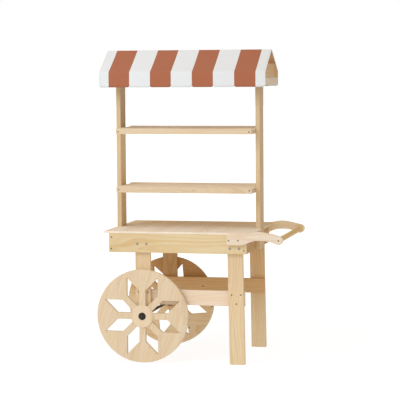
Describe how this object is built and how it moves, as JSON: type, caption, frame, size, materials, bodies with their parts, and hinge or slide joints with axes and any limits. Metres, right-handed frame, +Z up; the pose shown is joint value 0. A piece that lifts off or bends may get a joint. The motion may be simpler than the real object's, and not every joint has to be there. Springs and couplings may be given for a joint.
{
  "type": "push vending cart",
  "caption": "Wooden market cart with a boarded table, two shelves between end posts, a striped cloth awning, fixed disc wheels, legs and a push handle.",
  "frame": {"origin": "on the floor, under the middle of the cart's whole outline", "axes": "+Z up, +X towards the push handle, -Y the front, where the shelves stand further out from the posts"},
  "size_m": [1.1732, 0.7856, 1.9],
  "materials": {
    "apron_pine": "planed softwood, clear, satin",
    "leg_pine": "planed softwood, clear, satin",
    "table_pine": "planed softwood boards, clear, satin",
    "shelf_pine": "planed softwood, clear, satin",
    "post_pine": "planed softwood, clear, satin",
    "handle_pine": "sanded softwood, clear, satin",
    "wheel_pine": "planed softwood panel, clear, satin",
    "awning_cloth": "woven cloth in broad terracotta and white stripes",
    "bolt_steel": "zinc plated",
    "axle_steel": "black, satin"
  },
  "bodies": {
    "root": {"awning_cover": "awning_cloth", "axle_rod": "axle_steel", "front_apron": "apron_pine", "front_axle_cap": "axle_steel", "front_axle_washer": "axle_steel", "front_eave_batten": "post_pine", "front_handle_arm": "handle_pine", "front_hub_disc": "wheel_pine", "front_right_leg": "leg_pine", "front_right_leg_bolt_left": "bolt_steel", "front_right_leg_bolt_right": "bolt_steel", "front_stretcher": "leg_pine", "front_wheel": "wheel_pine", "front_wheel_leg": "leg_pine", "front_wheel_leg_bolt_left": "bolt_steel", "front_wheel_leg_bolt_right": "bolt_steel", "grip_dowel": "handle_pine", "left_apron": "apron_pine", "left_gable": "post_pine", "left_post": "post_pine", "left_roof_tie": "post_pine", "lower_shelf_front_rail": "shelf_pine", "lower_shelf_left_rail": "shelf_pine", "lower_shelf_panel": "shelf_pine", "lower_shelf_rear_rail": "shelf_pine", "lower_shelf_right_rail": "shelf_pine", "rear_apron": "apron_pine", "rear_axle_cap": "axle_steel", "rear_axle_washer": "axle_steel", "rear_eave_batten": "post_pine", "rear_handle_arm": "handle_pine", "rear_hub_disc": "wheel_pine", "rear_right_leg": "leg_pine", "rear_right_leg_bolt_left": "bolt_steel", "rear_right_leg_bolt_right": "bolt_steel", "rear_stretcher": "leg_pine", "rear_wheel": "wheel_pine", "rear_wheel_leg": "leg_pine", "rear_wheel_leg_bolt_left": "bolt_steel", "rear_wheel_leg_bolt_right": "bolt_steel", "ridge_beam": "post_pine", "right_apron": "apron_pine", "right_gable": "post_pine", "right_post": "post_pine", "right_roof_tie": "post_pine", "table_board_1": "table_pine", "table_board_10": "table_pine", "table_board_2": "table_pine", "table_board_3": "table_pine", "table_board_4": "table_pine", "table_board_5": "table_pine", "table_board_6": "table_pine", "table_board_7": "table_pine", "table_board_8": "table_pine", "table_board_9": "table_pine", "upper_shelf_front_rail": "shelf_pine", "upper_shelf_left_rail": "shelf_pine", "upper_shelf_panel": "shelf_pine", "upper_shelf_rear_rail": "shelf_pine", "upper_shelf_right_rail": "shelf_pine"}
  },
  "joints": []
}
